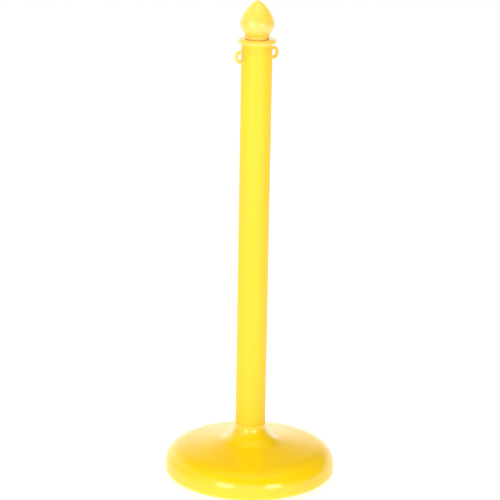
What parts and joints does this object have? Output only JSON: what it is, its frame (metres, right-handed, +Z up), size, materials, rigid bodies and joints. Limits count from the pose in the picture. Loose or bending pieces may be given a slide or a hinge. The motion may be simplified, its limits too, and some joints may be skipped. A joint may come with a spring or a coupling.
{
  "type": "delineator post",
  "caption": "Free-standing plastic chain post: round weighted base, straight tube, beaded collar, acorn finial and two open C hooks for barrier chain.",
  "frame": {"origin": "middle of the standing face, on the post's axis at floor level", "axes": "+Z up along the pole's axis; the two chain hooks lie along +X (right) and -X (left)"},
  "size_m": [0.359, 0.359, 1.024],
  "materials": {
    "base_plastic": "satin",
    "pole_plastic": "satin",
    "white_plastic": "satin",
    "black_plastic": "satin",
    "rubber": "matte",
    "sand": "matte"
  },
  "bodies": {
    "base": {"base_shell": "base_plastic", "ballast_sand": "sand", "foot_pad_1": "rubber", "foot_pad_2": "rubber", "foot_pad_3": "rubber", "foot_pad_4": "rubber"},
    "plug": {"fill_plug": "black_plastic", "fill_plug_seal": "rubber"},
    "sleeve": {"neck_sleeve": "white_plastic"},
    "post": {"pole": "pole_plastic", "collar": "pole_plastic", "chain_hook_left": "pole_plastic", "chain_hook_right": "pole_plastic", "hook_retainer_left": "white_plastic", "hook_retainer_right": "white_plastic"},
    "top": {"finial": "pole_plastic"}
  },
  "joints": [
    {"name": "fill_plug_turn", "type": "hinge", "parent": "base", "child": "plug", "pos_m": [0, 0, 0.01], "axis": [0, 0, 1], "range_deg": [0, 90]},
    {"name": "pole_turn", "type": "hinge", "parent": "base", "child": "sleeve", "pos_m": [0, 0, 0.16], "axis": [0, 0, 1], "continuous": true},
    {"name": "pole_lift", "type": "slide", "parent": "sleeve", "child": "post", "axis": [0, 0, 1], "range_m": [0, 0.09]},
    {"name": "finial_pull", "type": "slide", "parent": "post", "child": "top", "axis": [0, 0, 1], "range_m": [0, 0.045]}
  ]
}
